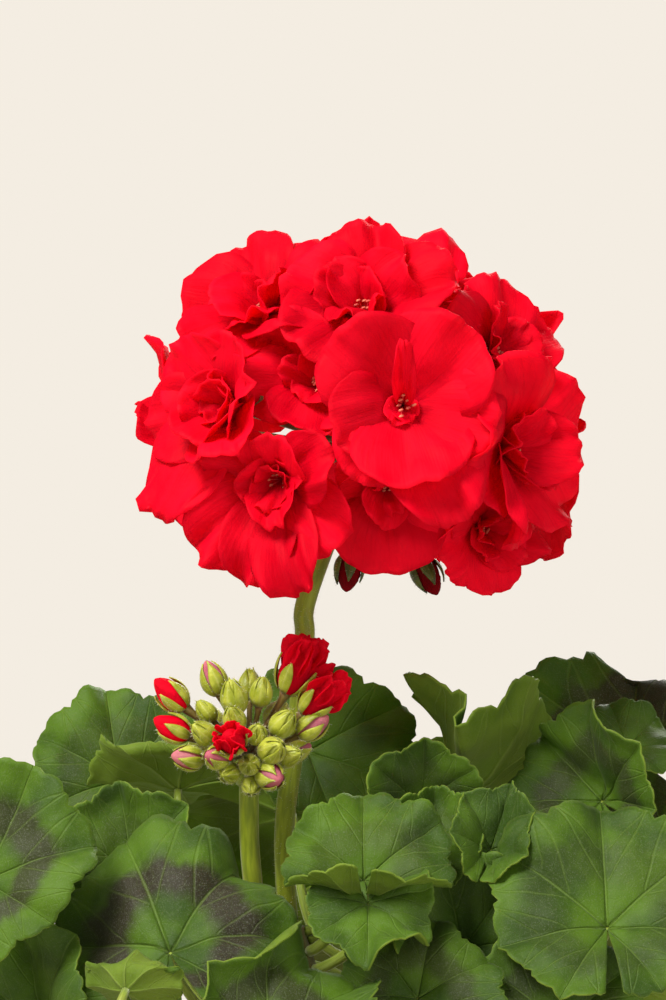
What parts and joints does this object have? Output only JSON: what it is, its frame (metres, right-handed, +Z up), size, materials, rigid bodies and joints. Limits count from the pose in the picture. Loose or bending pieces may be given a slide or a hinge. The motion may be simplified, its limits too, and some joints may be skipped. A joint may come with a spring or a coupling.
{
  "type": "potted geranium",
  "caption": "Zonal geranium in a plain terracotta pot, with scalloped dark-zoned leaves, a round head of red double florets and a lower cluster of opening buds.",
  "frame": {"origin": "centre of the pot's flat base, on the surface that it stands on", "axes": "+Z up along the pot's axis, -Y towards the side that the flower head and bud cluster show, +X to the right of that view"},
  "size_m": [0.214, 0.198, 0.3516],
  "materials": {
    "terracotta": "matte",
    "soil": "matte",
    "stalk": "satin",
    "leaf": "matte",
    "petal": "satin",
    "bud": "satin"
  },
  "bodies": {
    "root": {"bud_stalk": "stalk", "floret_back": "petal", "floret_back_left": "petal", "floret_back_right": "petal", "floret_bottom": "petal", "floret_crown": "petal", "floret_front": "petal", "floret_inner": "petal", "floret_left": "petal", "floret_low_back": "petal", "floret_lower_left": "petal", "floret_lower_right": "petal", "floret_right": "petal", "floret_side_left": "petal", "floret_side_right": "petal", "floret_top": "petal", "floret_top_right": "petal", "floret_upper_left": "petal", "floret_upper_right": "petal", "flower_stalk": "stalk", "hanging_bud_left": "bud", "hanging_bud_middle": "bud", "hanging_bud_right": "bud", "leaf_back": "leaf", "leaf_back_left": "leaf", "leaf_back_left_low": "leaf", "leaf_back_low": "leaf", "leaf_back_right": "leaf", "leaf_back_right_low": "leaf", "leaf_behind": "leaf", "leaf_beneath": "leaf", "leaf_bottom": "leaf", "leaf_bottom_right": "leaf", "leaf_centre_left": "leaf", "leaf_cupped": "leaf", "leaf_curled": "leaf", "leaf_front": "leaf", "leaf_front_small": "leaf", "leaf_left_back": "leaf", "leaf_left_front": "leaf", "leaf_left_inner": "leaf", "leaf_left_low": "leaf", "leaf_right_back": "leaf", "leaf_right_dark": "leaf", "leaf_right_edge": "leaf", "leaf_right_folded": "leaf", "leaf_right_front": "leaf", "leaf_right_inner": "leaf", "leaf_right_low": "leaf", "leaf_shaded": "leaf", "leaf_upright": "leaf", "open_bud": "bud", "opening_bud_high": "bud", "opening_bud_low": "bud", "pot": "terracotta", "red_bud_high": "bud", "red_bud_low": "bud", "red_bud_right": "bud", "soil": "soil", "stem": "stalk"}
  },
  "joints": []
}
